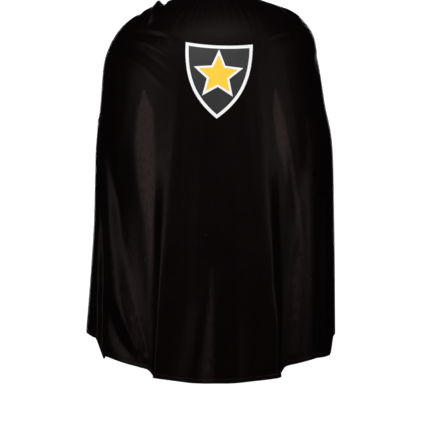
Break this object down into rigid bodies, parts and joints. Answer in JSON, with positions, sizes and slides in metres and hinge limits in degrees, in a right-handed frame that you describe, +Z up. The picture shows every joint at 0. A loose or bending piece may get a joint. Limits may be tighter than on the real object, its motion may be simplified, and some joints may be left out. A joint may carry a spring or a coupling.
{
  "type": "superhero cape",
  "caption": "Long cloth cape with a stiffened neckband that closes at the throat, an open front, a flared hem and a shield emblem on the upper back.",
  "frame": {"origin": "centre of the neck opening, level with the seam between the neckband and the cloth", "axes": "+Z up along the wearer's neck, -Y out of the back of the cape where the emblem is, +Y towards the open front, +X to the wearer's right"},
  "size_m": [0.6992, 0.2995, 1.1051],
  "materials": {
    "satin_cloth": "black warp-knit satin with a soft grainy sheen",
    "band_cloth": "the same satin, folded double and stitched",
    "stiff_tape": "stiff non-woven interfacing",
    "touch_tape": "black nylon hook-and-loop tape",
    "label_tape": "white satin ribbon, blank",
    "white_film": "white heat-transfer film",
    "charcoal_film": "charcoal heat-transfer film",
    "yellow_film": "yellow heat-transfer film"
  },
  "bodies": {
    "shoulders": {"back_panel_shoulders": "satin_cloth", "left_front_panel_shoulder": "satin_cloth", "right_front_panel_shoulder": "satin_cloth", "neckband": "band_cloth", "neckband_stiffener": "stiff_tape", "left_shoulder_patch": "touch_tape", "right_shoulder_patch": "touch_tape", "size_label": "label_tape"},
    "drape": {"back_panel_drape": "satin_cloth", "left_front_panel_drape": "satin_cloth", "right_front_panel_drape": "satin_cloth", "care_label": "label_tape", "emblem_shield_border": "white_film", "emblem_shield_field": "charcoal_film", "emblem_star_outline": "white_film", "emblem_star": "yellow_film"},
    "left_tab": {"left_neck_tab": "band_cloth", "loop_patch": "touch_tape"},
    "right_tab": {"right_neck_tab": "band_cloth", "hook_patch": "touch_tape"}
  },
  "joints": [
    {"name": "cape_swing", "type": "hinge", "parent": "shoulders", "child": "drape", "pos_m": [0, -0.05, -0.095], "axis": [-1, 0, 0], "range_deg": [0, 40]},
    {"name": "right_tab_open", "type": "hinge", "parent": "shoulders", "child": "right_tab", "pos_m": [0.0495, 0.0459, 0], "axis": [0, 0, -1], "range_deg": [0, 100]},
    {"name": "left_tab_open", "type": "hinge", "parent": "shoulders", "child": "left_tab", "pos_m": [-0.0495, 0.0459, 0], "axis": [0, 0, 1], "range_deg": [0, 40]}
  ],
  "couplings": [
    {"joint": "left_tab_open", "follows": "right_tab_open", "ratio": 0.4}
  ]
}
